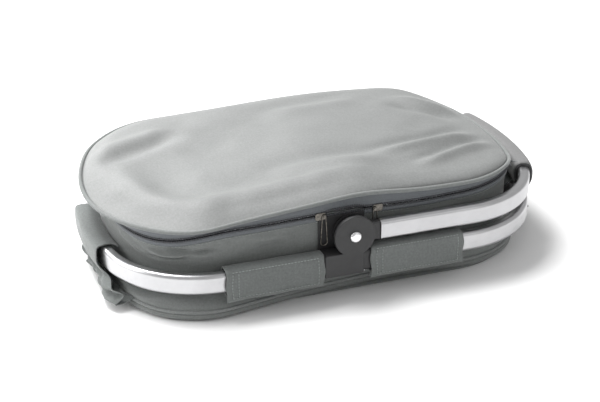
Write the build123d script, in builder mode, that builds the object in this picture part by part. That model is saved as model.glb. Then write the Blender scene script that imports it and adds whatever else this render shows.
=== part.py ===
from build123d import *

import os
from math import atan2, cos, pi, sin, sqrt

# Folding insulated cooler basket: a zipped fabric cooler body hung in an oval aluminium ring.
#
# A U-shaped carrying handle pivots on two hinge brackets at the middle of the long sides and lies
# folded over the right half. The body is collapsed: its side wall is folded in three layers, which
# draw out when the ring is lifted off the base. Millimetres, +Z up, +X along the length, the front
# with both zip sliders faces -Y, and the origin is on the base's underside at the ring's centre.

# ---------------------------------------------------------------- driving dimensions
# Bag body in plan, outside of its fabric
bag_length = 438.0
bag_width = 256.0
bag_corner_r = 85.0
bag_end_r = 260.0
bag_shift = -3.0  # the soft body sits this far off the ring's centre, along X

# Aluminium tube of the ring and of the handle
tube_depth = 12.0
tube_height = 22.0
tube_corner_r = 4.5
tube_wall = 1.3
ring_side_gap = 6.0  # from the bag's side to the ring
ring_end_gap = 11.0  # from the bag's end to the ring
ring_corner_r = 93.0  # inside of the ring
ring_end_r = 308.0  # inside of the ring
ring_bottom = 29.0
handle_gap = 8.0  # from the ring's top to the folded handle

# Layers
fabric = 1.0
foam = 4.0
foil = 0.6
board = 3.0
layer_gap = 0.8  # between the folded layers of the side wall
wall_layer = 3.0  # one folded layer
fold_lift = 2.0  # the middle layer's foot above the outer layer's
fold_step = 4.0  # each folded layer ends this far below the one outside it
touch_gap = 0.3  # between pieces that only lie against each other

# Base
base_overhang = 7.0
base_edge = 8.0
base_corner_r = 3.0
base_piping_r = 2.0
base_foam = 4.0

# Lid
lid_thickness = 22.0
lid_edge_r = 7.0
lid_piping_r = 2.2
lid_piping_height = 11.0  # piping's centre above the lid's lower edge
lid_hinge_half = 110.0  # half length of the unzipped stretch at the back
lid_strip_height = 11.5
hinge_cut_depth = 6.0  # of the cuts that open the band and the zip over the hinge

# Zip
tape_thickness = 0.8
coil_height = 1.1
coil_depth = 1.3
zip_clearance = 0.2
tape_height = 5.5
slider_length = 11.0
slider_height = 8.0
slider_plate = 1.4
slider_corner_r = 2.2
slider_edge_r = 0.5
slider_x = 31.0
slider_above_handle = 4.0
pin_r = 1.0
pin_inset = 2.0  # from the slider's nose to the pull's pin
wire_r = 0.65
pull_width = 7.0
pull_eye_clearance = 0.15  # round the pin
pin_head = 0.5
zip_stop_length = 3.0

# Hinge brackets
hub_r = 22.0
ear_overlap = 0.5  # of the back ear's lower end with the block
ear_front = 3.5
ear_back = 2.5
block_wall = 1.5  # above and below the ring's tube
block_back = 2.0
block_front = 2.5
block_corner_r = 2.0
bracket_edge_r = 0.8
block_left = 32.0
block_right = 10.0
collar_wall = 1.2
collar_length = 12.0
collar_right_end = 40.0
tube_stop = 6.0  # from the hub's centre to a ring tube's end
rivet_r = 4.0
rivet_head_r = 6.2
rivet_head_height = 3.4
rivet_rim = 0.4
washer_r = 10.0
washer_thickness = 0.6
washer_gap = 0.2
eye_r = 16.5
eye_clearance = 0.05
socket_start = 29.0  # from the hub's centre to the handle tube's end
socket_plug = 26.0
plug_clearance = 0.1
socket_inset = 1.0  # the socket's bar below the tube's top and above its bottom
socket_edge_r = 1.5
screw_left_x = -18.0
screw_right_x = 13.2
screw_r = 1.6
screw_head_r = 3.0
screw_head_height = 1.2
screw_tip = 1.5  # past the tube's wall

# Black patch sewn behind each hinge bracket
patch_thickness = 0.9
patch_corner_r = 2.0

# Fabric straps that hold the ring
strap_length = 98.0
strap_block_gap = 1.0  # from the bracket's block to the left strap
strap_hub_gap = 0.2  # from the bracket's disc to the right strap
strap_screw_gap = 0.8  # at least this far from the right screw's head
strap_fabric = 2.2
strap_clearance = 0.4
strap_rise = 4.9  # above the ring
strap_drop = 9.0  # below the ring
strap_corner_r = 3.5
slot_corner_r = 3.0
end_strap_rise = 2.5
end_strap_from = -50.0
end_strap_to = 52.0

# Grip on the handle
grip_half = 78.0
grip_pad = 4.0
grip_cover = 0.8

# ---------------------------------------------------------------- derived places
half_length = bag_length / 2
half_width = bag_width / 2
bore_depth = tube_depth - 2 * tube_wall
bore_height = tube_height - 2 * tube_wall
ring_in_length = half_length + ring_end_gap
ring_in_width = half_width + ring_side_gap
ring_mid_width = ring_in_width + tube_depth / 2
ring_out_width = ring_in_width + tube_depth
ring_mid_z = ring_bottom + tube_height / 2
ring_top = ring_bottom + tube_height
handle_bottom = ring_top + handle_gap
hub_z = handle_bottom + tube_height / 2
handle_top = handle_bottom + tube_height
zip_z = handle_top + slider_above_handle + slider_height / 2
wall_top = zip_z - zip_clearance / 2 - coil_height
wall_bottom = base_edge + 2 * base_piping_r + touch_gap
lid_bottom = zip_z + zip_clearance / 2 + coil_height
lid_piping_z = lid_bottom + lid_piping_height
fold_inset = fabric + foam + foil + layer_gap
lower_inset = fold_inset + wall_layer + layer_gap
inner_inset = lower_inset + wall_layer + foil
strap_top = ring_top + strap_rise
strap_front_left_end = -block_left - strap_block_gap
disc_reach = sqrt(hub_r**2 - (hub_z - strap_top) ** 2)  # half of the disc's width at the strap's top
strap_front_right_start = max(disc_reach + strap_hub_gap, screw_right_x + screw_head_r + strap_screw_gap)
block_bottom = ring_bottom - block_wall
block_top = ring_top + block_wall
back_ear_r = hub_z - block_top + ear_overlap
pull_pivot_z = zip_z
pull_bottom = strap_top + 2 * touch_gap
slider_back = half_width + coil_depth + touch_gap


# ---------------------------------------------------------------- shared shapes
def plan_points(a, b, corner_r, end_r):
    """Key points of an oval with straight sides, round corners and slightly bowed ends."""
    rise = b - corner_r
    corner_x = a - end_r + sqrt((end_r - corner_r) ** 2 - rise**2)
    turn = atan2(rise, corner_x - (a - end_r))
    middle = (turn + pi / 2) / 2
    join = (a - end_r + end_r * cos(turn), end_r * sin(turn))
    corner = (corner_x + corner_r * cos(middle), rise + corner_r * sin(middle))
    return join, corner, (corner_x, b)


def half_path(a, b, corner_r, end_r, start_x, side):
    """Open path of one half of the oval, from the front middle round the end to the back middle."""
    join, corner, straight = plan_points(a, b, corner_r, end_r)
    with BuildLine() as path:
        Line((side * start_x, -b), (side * straight[0], -straight[1]))
        ThreePointArc(path.line @ 1, (side * corner[0], -corner[1]), (side * join[0], -join[1]))
        ThreePointArc((side * join[0], -join[1]), (side * a, 0), (side * join[0], join[1]))
        ThreePointArc((side * join[0], join[1]), (side * corner[0], corner[1]), (side * straight[0], b))
        Line((side * straight[0], b), (side * start_x, b))
    return path.wire()


def closed_plan(a, b, corner_r, end_r, shift):
    """Closed oval outline, as a wire."""
    join, corner, straight = plan_points(a, b, corner_r, end_r)
    with BuildLine() as outline:
        for side in (1, -1):
            ThreePointArc(
                (shift + side * join[0], -join[1]), (shift + side * a, 0), (shift + side * join[0], join[1])
            )
            for end in (1, -1):
                ThreePointArc(
                    (shift + side * join[0], end * join[1]),
                    (shift + side * corner[0], end * corner[1]),
                    (shift + side * straight[0], end * straight[1]),
                )
        for end in (1, -1):
            Line((shift - straight[0], end * b), (shift + straight[0], end * b))
    return outline.wire()


def bag_plan(inset):
    """The bag's outline, drawn inset inside its outer fabric face."""
    return closed_plan(
        half_length - inset, half_width - inset, bag_corner_r - inset, bag_end_r - inset, bag_shift
    )


def bag_band(outer_inset, inner_inset_, low, high):
    """A wall that follows the bag's outline between two insets and two heights."""
    with BuildPart() as band:
        with BuildSketch(Plane.XY.offset(low)):
            make_face(bag_plan(outer_inset).edges())
            make_face(bag_plan(inner_inset_).edges(), mode=Mode.SUBTRACT)
        extrude(amount=high - low)
    return band


def bag_plate(inset, low, high):
    """A flat plate that fills the bag's outline."""
    with BuildPart() as plate:
        with BuildSketch(Plane.XY.offset(low)):
            make_face(bag_plan(inset).edges())
        extrude(amount=high - low)
    return plate


def finish(part, label):
    """Labels a finished piece and writes it to its own file."""
    part.label = label
    export_step(part, f"parts/{label}.step")


def on_front(y):
    """A sketch plane facing the front, y in front of the X axis: local X is X and local Y is Z."""
    return Plane(origin=(0, -y, 0), x_dir=(1, 0, 0), z_dir=(0, -1, 0))


def across(origin):
    """A sketch plane across the bag's length: local X is Y and local Y is Z."""
    return Plane(origin=origin, x_dir=(0, 1, 0), z_dir=(1, 0, 0))


def finish_both_sides(front, label):
    """Writes a piece of the front and its mirror image on the back."""
    finish(front, f"{label}_front")
    with BuildPart() as back:
        mirror(front, about=Plane.XZ)
    finish(back.part, f"{label}_back")


os.makedirs("parts", exist_ok=True)

# ---------------------------------------------------------------- side wall, upper layer
wall_cover = bag_band(0, fabric, wall_bottom, wall_top)
finish(wall_cover.part, "wall_cover")
wall_foam = bag_band(fabric, fabric + foam, wall_bottom, wall_top)
finish(wall_foam.part, "wall_foam")
wall_liner = bag_band(fabric + foam, fabric + foam + foil, wall_bottom, wall_top)
finish(wall_liner.part, "wall_liner")

# ---------------------------------------------------------------- side wall, folded layers
fold_wall = bag_band(fold_inset, fold_inset + wall_layer, wall_bottom + fold_lift, wall_top - fold_step)
finish(fold_wall.part, "fold_wall")
board_top = fabric + board
lower_top = wall_top - 2 * fold_step
lower_wall = bag_band(lower_inset, lower_inset + wall_layer, board_top, lower_top)
finish(lower_wall.part, "lower_wall")
floor_top = board_top + base_foam + foil
lower_liner = bag_band(lower_inset + wall_layer, inner_inset, floor_top, lower_top)
finish(lower_liner.part, "lower_liner")

# ---------------------------------------------------------------- base
with BuildPart() as base_cover:
    with BuildSketch():
        make_face(bag_plan(-base_overhang).edges())
    extrude(amount=base_edge)
    fillet(base_cover.faces().sort_by(Axis.Z)[0].edges(), base_corner_r)
    with BuildSketch(Plane.XY.offset(fabric)):
        make_face(bag_plan(-base_overhang + base_corner_r).edges())
    extrude(amount=base_edge, mode=Mode.SUBTRACT)
finish(base_cover.part, "base_cover")
base_board = bag_plate(-base_overhang + base_corner_r, fabric, board_top)
finish(base_board.part, "base_board")
base_pad = bag_plate(lower_inset + wall_layer, board_top, board_top + base_foam)
finish(base_pad.part, "base_foam")
base_liner = bag_plate(lower_inset + wall_layer, board_top + base_foam, floor_top)
finish(base_liner.part, "base_liner")
base_piping_path = bag_plan(-base_overhang + base_piping_r)
base_piping_path = base_piping_path.move(Location((0, 0, base_edge + base_piping_r)))
with BuildPart() as base_piping:
    with BuildSketch(Plane(base_piping_path @ 0, z_dir=base_piping_path % 0)):
        Circle(base_piping_r)
    sweep(path=base_piping_path)
finish(base_piping.part, "base_piping")

# ---------------------------------------------------------------- lid
lid_top = lid_bottom + lid_thickness
with BuildPart() as lid_outer:
    with BuildSketch(Plane.XY.offset(lid_piping_z)):
        make_face(bag_plan(0).edges())
    extrude(amount=lid_top - lid_piping_z)
    fillet(lid_outer.faces().sort_by(Axis.Z)[-1].edges(), lid_edge_r)
with BuildPart() as lid_foam:
    with BuildSketch(Plane.XY.offset(lid_bottom + foil)):
        make_face(bag_plan(fabric).edges())
    extrude(amount=lid_thickness - foil - fabric)
    fillet(lid_foam.faces().sort_by(Axis.Z)[-1].edges(), lid_edge_r)
finish(lid_foam.part, "lid_foam")
with BuildPart() as lid_cover:
    add(lid_outer.part)
    add(lid_foam.part, mode=Mode.SUBTRACT)
finish(lid_cover.part, "lid_cover")
with BuildPart() as lid_band:
    add(bag_band(0, fabric, lid_bottom, lid_piping_z).part)
    with BuildSketch(Plane.XY.offset(lid_bottom)):
        with Locations((bag_shift, half_width)):
            Rectangle(2 * lid_hinge_half, hinge_cut_depth)
    extrude(amount=lid_piping_height, mode=Mode.SUBTRACT)
finish(lid_band.part, "lid_band")
lid_lining = bag_plate(fabric, lid_bottom, lid_bottom + foil)
finish(lid_lining.part, "lid_lining")

# The piping is a round cord in a fabric tape, sewn round the lid's edge over the band
lid_piping_path = bag_plan(-lid_piping_r).move(Location((0, 0, lid_piping_z)))
with BuildPart() as lid_piping:
    with BuildSketch(Plane(lid_piping_path @ 0, z_dir=lid_piping_path % 0)):
        Circle(lid_piping_r)
    sweep(path=lid_piping_path)
finish(lid_piping.part, "lid_piping")

# ---------------------------------------------------------------- zip round the front and the ends
def zip_strip(outset, low, high):
    """A strip round the wall's outside, open at the back over the lid's hinge."""
    with BuildPart() as strip:
        with BuildSketch(Plane.XY.offset(low)):
            make_face(bag_plan(-outset).edges())
            make_face(bag_plan(0).edges(), mode=Mode.SUBTRACT)
            with Locations((bag_shift, half_width)):
                Rectangle(2 * lid_hinge_half, hinge_cut_depth, mode=Mode.SUBTRACT)
        extrude(amount=high - low)
    return strip.part


finish(zip_strip(tape_thickness, wall_top - tape_height, wall_top), "zip_tape_lower")
finish(zip_strip(coil_depth, wall_top, wall_top + coil_height), "zip_coil_lower")
finish(zip_strip(coil_depth, lid_bottom - coil_height, lid_bottom), "zip_coil_upper")
finish(zip_strip(tape_thickness, lid_bottom, lid_bottom + tape_height), "zip_tape_upper")

# Metal stops at the two back ends of the zip
stop_x = lid_hinge_half - zip_stop_length / 2 - touch_gap
with BuildPart() as zip_stops:
    with BuildSketch(on_front(-half_width)):
        with Locations((bag_shift - stop_x, zip_z), (bag_shift + stop_x, zip_z)):
            Rectangle(zip_stop_length, 2 * coil_height + zip_clearance)
    extrude(amount=-coil_depth)
finish(zip_stops.part, "zip_stops")

# The lid hangs on a fabric strip along the back
strip_half = lid_hinge_half - zip_stop_length - 3 * touch_gap
with BuildPart() as hinge_strip:
    with BuildSketch(on_front(-half_width)):
        with Locations((bag_shift, wall_top - tape_height)):
            Rectangle(2 * strip_half, lid_strip_height, align=(Align.CENTER, Align.MIN))
    extrude(amount=-fabric)
finish(hinge_strip.part, "lid_hinge_strip")

# ---------------------------------------------------------------- zip sliders and their wire pulls
for side, name in ((-1, "left"), (1, "right")):
    pin_x = side * (slider_x - slider_length / 2 + pin_inset)
    with BuildPart() as slider:
        with BuildSketch(on_front(slider_back)):
            with Locations((side * slider_x, zip_z)):
                RectangleRounded(slider_length, slider_height, slider_corner_r)
        extrude(amount=slider_plate)
        fillet(slider.faces().sort_by(Axis.Y)[0].edges(), slider_edge_r)
        with BuildSketch(on_front(slider_back + slider_plate)):
            with Locations((pin_x, zip_z)):
                Circle(pin_r)
        extrude(amount=2 * wire_r + 2 * touch_gap)
        with BuildSketch(on_front(slider_back + slider_plate + 2 * wire_r + 2 * touch_gap)):
            with Locations((pin_x, zip_z)):
                Circle(pin_r + wire_r)
        extrude(amount=pin_head)
    finish(slider.part, f"slider_{name}")

    eye_mid_r = pin_r + wire_r + pull_eye_clearance
    foot_r = pull_width / 2
    foot_z = pull_bottom + wire_r + foot_r
    drop = pull_pivot_z - foot_z
    lean = atan2(foot_r - eye_mid_r, drop)
    with BuildPart() as pull:
        with BuildLine(on_front(slider_back + slider_plate + touch_gap + wire_r)) as pull_path:
            eye_left = (pin_x - eye_mid_r * cos(lean), pull_pivot_z + eye_mid_r * sin(lean))
            eye_right = (pin_x + eye_mid_r * cos(lean), pull_pivot_z + eye_mid_r * sin(lean))
            foot_left = (pin_x - foot_r * cos(lean), foot_z + foot_r * sin(lean))
            foot_right = (pin_x + foot_r * cos(lean), foot_z + foot_r * sin(lean))
            ThreePointArc(eye_left, (pin_x, pull_pivot_z + eye_mid_r), eye_right)
            Line(eye_right, foot_right)
            ThreePointArc(foot_right, (pin_x, foot_z - foot_r), foot_left)
            Line(foot_left, eye_left)
        with BuildSketch(Plane(pull_path.wire() @ 0, z_dir=pull_path.wire() % 0)):
            Circle(wire_r)
        sweep(path=pull_path.wire())
    finish(pull.part, f"pull_{name}")

# ---------------------------------------------------------------- aluminium ring and handle tubes
def swept_half(section, side, start_x, z):
    """A section (X towards the bag, Y up) swept round one half of the ring's oval at height z."""
    mid = tube_depth / 2
    path = half_path(
        ring_in_length + mid, ring_mid_width, ring_corner_r + mid, ring_end_r + mid, start_x, side
    ).move(Location((0, 0, z)))
    with BuildPart() as piece:
        with BuildSketch(Plane(path @ 0, x_dir=(0, 1, 0), z_dir=path % 0)):
            add(section)
        sweep(path=path)
    return piece.part


with BuildSketch() as tube_section:
    RectangleRounded(tube_depth, tube_height, tube_corner_r)
    RectangleRounded(bore_depth, bore_height, tube_corner_r - tube_wall, mode=Mode.SUBTRACT)
ring_left = swept_half(tube_section.sketch, -1, tube_stop, ring_mid_z)
ring_right = swept_half(tube_section.sketch, 1, tube_stop, ring_mid_z)
finish(swept_half(tube_section.sketch, 1, socket_start, hub_z), "handle_tube")

# ---------------------------------------------------------------- hinge brackets
back_face = ring_in_width - block_back
front_face = ring_out_width + block_front
ear_gap_low = back_face + ear_back
ear_gap_high = front_face - ear_front
drill_depth = 2 * block_wall + tube_wall
screw_xs = (screw_left_x, screw_right_x)


def front_sleeve(x_from, x_to, outset):
    """A straight bar round the ring's front run, with the tube's outline grown by outset."""
    with BuildPart() as bar:
        with BuildSketch(across((x_from, -ring_mid_width, ring_mid_z))):
            RectangleRounded(tube_depth + 2 * outset, tube_height + 2 * outset, tube_corner_r)
        extrude(amount=x_to - x_from)
    return bar.part


with BuildPart() as bracket:
    with BuildSketch(on_front(back_face)):
        with Locations(((block_right - block_left) / 2, ring_mid_z)):
            RectangleRounded(block_left + block_right, block_top - block_bottom, block_corner_r)
    extrude(amount=front_face - back_face)
    add(front_sleeve(-block_left - collar_length, collar_right_end, collar_wall))
    for face, depth, radius in ((back_face, ear_back, back_ear_r), (ear_gap_high, ear_front, hub_r)):
        with BuildSketch(on_front(face)):
            with Locations((0, hub_z)):
                Circle(radius)
        extrude(amount=depth)
    fillet(bracket.faces().sort_by(Axis.Y)[0].edges(), bracket_edge_r)
    with BuildSketch(on_front(back_face)):
        with Locations((0, hub_z)):
            Circle(rivet_r)
    extrude(amount=front_face - back_face, mode=Mode.SUBTRACT)
    add(front_sleeve(-block_left - collar_length, -tube_stop, 0), mode=Mode.SUBTRACT)
    add(front_sleeve(tube_stop, collar_right_end, 0), mode=Mode.SUBTRACT)
    with BuildSketch(Plane.XY.offset(block_bottom)):
        with Locations(*[(x, -ring_mid_width) for x in screw_xs]):
            Circle(screw_r)
    extrude(amount=drill_depth, mode=Mode.SUBTRACT)
finish_both_sides(bracket.part, "hinge_bracket")

# Screws from below hold the tube ends in the brackets
with BuildPart() as screws:
    for y in (-ring_mid_width, ring_mid_width):
        for x, surface in zip(screw_xs, (block_bottom, ring_bottom - collar_wall)):
            with BuildSketch(Plane.XY.offset(surface)):
                with Locations((x, y)):
                    Circle(screw_r)
            extrude(amount=ring_bottom + tube_wall + screw_tip - surface)
            with BuildSketch(Plane.XY.offset(surface)):
                with Locations((x, y)):
                    Circle(screw_head_r)
            extrude(amount=-screw_head_height)
finish(screws.part, "bracket_screws")

for tube, label in ((ring_left, "ring_tube_left"), (ring_right, "ring_tube_right")):
    with BuildPart() as drilled:
        add(tube)
        with BuildSketch(Plane.XY.offset(block_bottom)):
            with Locations(*[(x, y) for x in screw_xs for y in (-ring_mid_width, ring_mid_width)]):
                Circle(screw_r)
        extrude(amount=drill_depth, mode=Mode.SUBTRACT)
    finish(drilled.part, label)

# Rivet with a domed head, and a washer each side of the handle's eye
with BuildPart() as rivet:
    with BuildSketch(on_front(back_face)):
        with Locations((0, hub_z)):
            Circle(rivet_r)
    extrude(amount=front_face - back_face)
    with BuildSketch(on_front(front_face)):
        with Locations((0, hub_z)):
            Circle(rivet_head_r)
    extrude(amount=rivet_head_height)
    fillet(rivet.faces().sort_by(Axis.Y)[0].edges(), rivet_head_height - rivet_rim)
finish_both_sides(rivet.part, "rivet")

with BuildPart() as washers:
    for face in (ear_gap_low, ear_gap_high - washer_thickness):
        with BuildSketch(on_front(face)):
            with Locations((0, hub_z)):
                Circle(washer_r)
                Circle(rivet_r, mode=Mode.SUBTRACT)
        extrude(amount=washer_thickness)
finish_both_sides(washers.part, "washers")

# ---------------------------------------------------------------- handle end fittings
eye_low = ear_gap_low + washer_thickness + washer_gap
eye_high = ear_gap_high - washer_thickness - washer_gap
plug_depth = bore_depth - 2 * plug_clearance
plug_height = bore_height - 2 * plug_clearance
with BuildPart() as socket:
    with BuildSketch(on_front(eye_low)):
        with Locations((0, hub_z)):
            Circle(eye_r)
        with Locations((socket_start / 2, hub_z)):
            Rectangle(socket_start, tube_height - 2 * socket_inset)
    extrude(amount=eye_high - eye_low)
    fillet(socket.edges().filter_by(Axis.X), socket_edge_r)
    with BuildSketch(across((socket_start, -ring_mid_width, hub_z))):
        RectangleRounded(plug_depth, plug_height, tube_corner_r - tube_wall)
    extrude(amount=socket_plug)
    with BuildSketch(on_front(eye_low)):
        with Locations((0, hub_z)):
            Circle(rivet_r + eye_clearance)
    extrude(amount=eye_high - eye_low, mode=Mode.SUBTRACT)
finish_both_sides(socket.part, "handle_socket")

# ---------------------------------------------------------------- black patch behind each bracket
patch_left = strap_front_left_end + touch_gap
patch_right = strap_front_right_start - touch_gap
patch_top = wall_top - tape_height - touch_gap
with BuildPart() as patch:
    with BuildSketch(on_front(half_width)):
        with Locations(((patch_left + patch_right) / 2, (block_bottom + patch_top) / 2)):
            RectangleRounded(patch_right - patch_left, patch_top - block_bottom, patch_corner_r)
    extrude(amount=patch_thickness)
finish_both_sides(patch.part, "hinge_patch")

# ---------------------------------------------------------------- straps round the ring
strap_in = half_width
strap_out = ring_out_width + block_front + strap_fabric
slot_in = ring_in_width - collar_wall - strap_clearance
slot_out = ring_out_width + collar_wall + strap_clearance
slot_depth = slot_out - slot_in
slot_low = ring_bottom - collar_wall - strap_clearance
slot_high = ring_top + collar_wall + strap_clearance
strap_low = ring_bottom - strap_drop
for label, start in (
    ("strap_left", strap_front_left_end - strap_length),
    ("strap_right", strap_front_right_start),
):
    with BuildPart() as strap:
        with BuildSketch(across((start, 0, 0))):
            with Locations((-(strap_in + strap_out) / 2, (strap_low + strap_top) / 2)):
                RectangleRounded(strap_out - strap_in, strap_top - strap_low, strap_corner_r)
            with Locations((-(slot_in + slot_out) / 2, (slot_low + slot_high) / 2)):
                RectangleRounded(slot_depth, slot_high - slot_low, slot_corner_r, mode=Mode.SUBTRACT)
        extrude(amount=strap_length)
    finish_both_sides(strap.part, label)

with BuildSketch() as end_strap_section:
    with Locations((0, (strap_low + ring_top + end_strap_rise) / 2 - ring_mid_z)):
        RectangleRounded(
            tube_depth + 2 * (strap_clearance + strap_fabric),
            ring_top + end_strap_rise - strap_low,
            strap_corner_r,
        )
    RectangleRounded(
        tube_depth + 2 * strap_clearance,
        tube_height + 2 * strap_clearance,
        tube_corner_r + strap_clearance,
        mode=Mode.SUBTRACT,
    )
end_strap_height = ring_top + end_strap_rise - strap_low
end_strap_loop = swept_half(end_strap_section.sketch, 1, 0, ring_mid_z)
for side, label in ((-1, "end_strap_left"), (1, "end_strap_right")):
    with BuildPart() as end_strap:
        if side > 0:
            add(end_strap_loop)
        else:
            mirror(end_strap_loop, about=Plane.YZ)
        with BuildSketch(Plane.XY.offset(strap_low)):
            make_face(closed_plan(ring_in_length, ring_in_width, ring_corner_r, ring_end_r, 0).edges())
            make_face(bag_plan(0).edges(), mode=Mode.SUBTRACT)
        extrude(amount=strap_fabric)
        with BuildSketch(Plane.XY.offset(strap_low)):
            with Locations((side * ring_in_length, (end_strap_from + end_strap_to) / 2)):
                Rectangle(2 * ring_corner_r, end_strap_to - end_strap_from)
        extrude(amount=end_strap_height, mode=Mode.INTERSECT)
    finish(end_strap.part, label)


# ---------------------------------------------------------------- padded grip, open on its inner side
def grip_layer(inner, outer, label):
    """A C-shaped layer round the handle's end, between two distances from the tube."""
    with BuildSketch() as section:
        RectangleRounded(tube_depth + 2 * outer, tube_height + 2 * outer, tube_corner_r + outer)
        RectangleRounded(
            tube_depth + 2 * inner, tube_height + 2 * inner, tube_corner_r + inner, mode=Mode.SUBTRACT
        )
        with Locations((tube_depth / 2, 0)):
            Rectangle(2 * outer, 2 * tube_height, align=(Align.MIN, Align.CENTER), mode=Mode.SUBTRACT)
    with BuildPart() as layer:
        add(swept_half(section.sketch, 1, 0, hub_z))
        with BuildSketch(Plane.XY.offset(handle_bottom - outer)):
            with Locations((ring_in_length, 0)):
                Rectangle(2 * ring_corner_r, 2 * grip_half)
        extrude(amount=tube_height + 2 * outer, mode=Mode.INTERSECT)
    finish(layer.part, label)


grip_layer(0, grip_pad, "grip_foam")
grip_layer(grip_pad, grip_pad + grip_cover, "grip_cover")
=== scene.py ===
import math

import bmesh
import bpy
import numpy as np
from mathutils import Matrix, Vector, kdtree, noise


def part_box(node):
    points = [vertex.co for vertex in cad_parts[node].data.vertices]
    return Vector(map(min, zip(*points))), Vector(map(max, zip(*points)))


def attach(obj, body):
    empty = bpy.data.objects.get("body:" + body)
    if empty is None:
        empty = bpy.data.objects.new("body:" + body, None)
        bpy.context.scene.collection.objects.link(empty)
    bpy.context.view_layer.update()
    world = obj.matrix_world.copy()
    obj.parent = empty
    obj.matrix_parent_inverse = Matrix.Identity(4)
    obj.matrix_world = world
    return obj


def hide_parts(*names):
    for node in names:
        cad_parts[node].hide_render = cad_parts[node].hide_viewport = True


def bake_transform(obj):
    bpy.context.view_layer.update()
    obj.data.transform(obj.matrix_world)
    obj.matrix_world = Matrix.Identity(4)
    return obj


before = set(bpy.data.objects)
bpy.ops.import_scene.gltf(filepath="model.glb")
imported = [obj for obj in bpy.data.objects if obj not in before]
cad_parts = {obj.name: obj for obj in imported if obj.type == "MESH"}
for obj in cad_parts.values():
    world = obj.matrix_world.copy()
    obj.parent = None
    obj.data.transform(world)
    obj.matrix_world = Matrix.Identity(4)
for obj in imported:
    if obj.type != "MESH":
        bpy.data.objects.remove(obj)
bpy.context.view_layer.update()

# A folding insulated cooler basket, collapsed. Metres, +Z up, the front with both sliders faces -Y.
MM = 0.001

# ---------------------------------------------------------------- places, from the frame
wall_low, wall_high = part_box("wall_cover")
lid_piping_low, lid_piping_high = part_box("lid_piping")
_, coil_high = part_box("zip_coil_lower")
coil_upper_low, coil_upper_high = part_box("zip_coil_upper")
tape_low, tape_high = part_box("zip_tape_lower")
_, base_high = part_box("base_cover")
base_cord_low, base_cord_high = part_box("base_piping")
_, ring_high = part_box("ring_tube_right")
handle_low, handle_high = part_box("handle_tube")
grip_low, grip_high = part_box("grip_cover")
_, floor_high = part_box("base_liner")
_, lining_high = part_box("lid_lining")
hinge_low, hinge_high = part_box("lid_hinge_strip")

SHIFT = (wall_low.x + wall_high.x) / 2
HALF_LENGTH = (wall_high.x - wall_low.x) / 2
HALF_WIDTH = wall_high.y
CORNER_R, END_R = 85 * MM, 260 * MM  # radii of the bag's outline
RING_CORNER_R, RING_END_R = 105 * MM, 320 * MM
TUBE_DEPTH = 12 * MM
ZIP_Z = (coil_high.z + coil_upper_low.z) / 2
ZIP_REACH = 105 * MM  # half of the stretch at the back where there is no zip
PIPING_Z = (lid_piping_low.z + lid_piping_high.z) / 2
PIPING_R = (lid_piping_high.z - lid_piping_low.z) / 2
BASE_OUT = base_high.y - HALF_WIDTH
BASE_CORD_Z = (base_cord_low.z + base_cord_high.z) / 2
BASE_CORD_R = (base_cord_high.z - base_cord_low.z) / 2
WALL_FOOT = BASE_CORD_Z + 1 * MM
WALL_HEAD = wall_high.z


# ---------------------------------------------------------------- outlines
def oval(a, b, corner_r, end_r, shift):
    """Points, outward normals and distances round an oval, from the front middle towards +X."""
    rise = b - corner_r
    corner_x = a - end_r + math.sqrt((end_r - corner_r) ** 2 - rise**2)
    turn = math.atan2(rise, corner_x - (a - end_r))
    side_count, corner_count, end_count = 60, 80, 40
    quarter = [(x, b, 0.0, 1.0) for x in np.linspace(0, corner_x, side_count, endpoint=False)]
    for centre_x, centre_y, radius, angles in (
        (corner_x, rise, corner_r, np.linspace(math.pi / 2, turn, corner_count, endpoint=False)),
        (a - end_r, 0.0, end_r, np.linspace(turn, 0, end_count)),
    ):
        for angle in angles:
            c, s = math.cos(angle), math.sin(angle)
            quarter.append((centre_x + radius * c, centre_y + radius * s, c, s))
    q = np.array(quarter)
    half = np.vstack([q * [1, -1, 1, -1], q[::-1][1:]])
    loop = np.vstack([half, (half[::-1] * [-1, 1, -1, 1])[1:]])
    loop[:, 0] += shift
    steps = np.linalg.norm(np.diff(loop[:, :2], axis=0), axis=1)
    return loop, np.concatenate([[0], np.cumsum(steps)])


BAG_LOOP, BAG_ALONG = oval(HALF_LENGTH, HALF_WIDTH, CORNER_R, END_R, SHIFT)
BAG_GIRTH = BAG_ALONG[-1]
ZIP_END = BAG_GIRTH / 2 - ZIP_REACH  # where the zip ends, measured round the bag from the front middle
RING_LOOP, RING_ALONG = oval(ring_high.x, ring_high.y, RING_CORNER_R, RING_END_R, 0)


def on_loop(loop, along, s):
    """Points and outward normals at distances s round an outline."""
    s = np.mod(s, along[-1])
    row = np.stack([np.interp(s, along, loop[:, i]) for i in range(4)], -1)
    return row[..., :2], row[..., 2:] / np.linalg.norm(row[..., 2:], axis=-1, keepdims=True)


def bag_at(s):
    return on_loop(BAG_LOOP, BAG_ALONG, s)


def all_round(count):
    return np.linspace(0, BAG_GIRTH, count, endpoint=False)


def zip_round(count):
    """Distances along the zip, from its left back end round the front to its right back end."""
    return np.linspace(-ZIP_END, ZIP_END, count)


# ---------------------------------------------------------------- mesh helpers
def new_object(name, verts, faces):
    mesh = bpy.data.meshes.new(name)
    mesh.from_pydata([tuple(v) for v in verts], [], faces)
    mesh.validate()
    mesh.shade_smooth()
    obj = bpy.data.objects.new(name, mesh)
    bpy.context.scene.collection.objects.link(obj)
    return obj


def copy_of(obj, name):
    return new_object(name, verts_of(obj), [tuple(p.vertices) for p in obj.data.polygons])


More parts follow.
